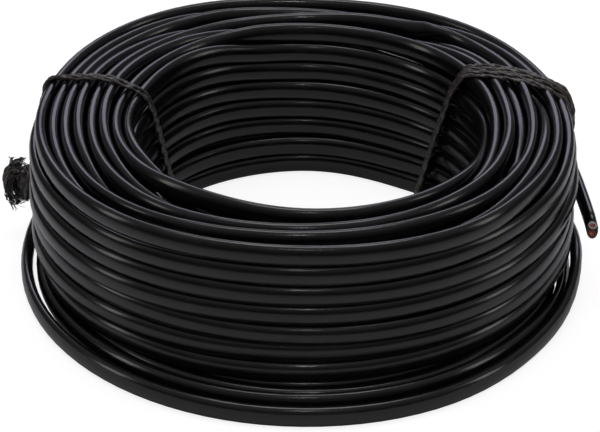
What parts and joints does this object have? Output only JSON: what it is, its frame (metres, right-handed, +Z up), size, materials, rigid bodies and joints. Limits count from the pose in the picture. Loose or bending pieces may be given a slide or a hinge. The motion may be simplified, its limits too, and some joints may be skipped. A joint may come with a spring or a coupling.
{
  "type": "flat cable roll",
  "caption": "Roll of black flat twin-core sheathed cable lying flat, with an open bore, a loose last turn, a bare cut end and ties of twisted plastic film round the turns.",
  "frame": {"origin": "on the floor under the middle of the whole roll's box, knot and cut end included", "axes": "+Z up along the roll's axis, out of the end face that lies uppermost; +X towards the side of the cut end; +Y away from the side on which the cut end's face shows"},
  "size_m": [0.2012, 0.1912, 0.0576],
  "materials": {
    "sheath": "satin black extruded PVC sheath",
    "core_pale": "pale core insulation, cut",
    "core_brown": "brown core insulation, cut",
    "copper": "bare copper strands, freshly cut",
    "tie_film": "twisted black plastic film, crinkled"
  },
  "bodies": {
    "root": {"cable_roll": "sheath", "loose_last_turn": "sheath", "core_insulation_upper": "core_pale", "core_insulation_lower": "core_brown", "conductor_upper": "copper", "conductor_lower": "copper", "tie_left": "tie_film", "tie_right": "tie_film"}
  },
  "joints": []
}
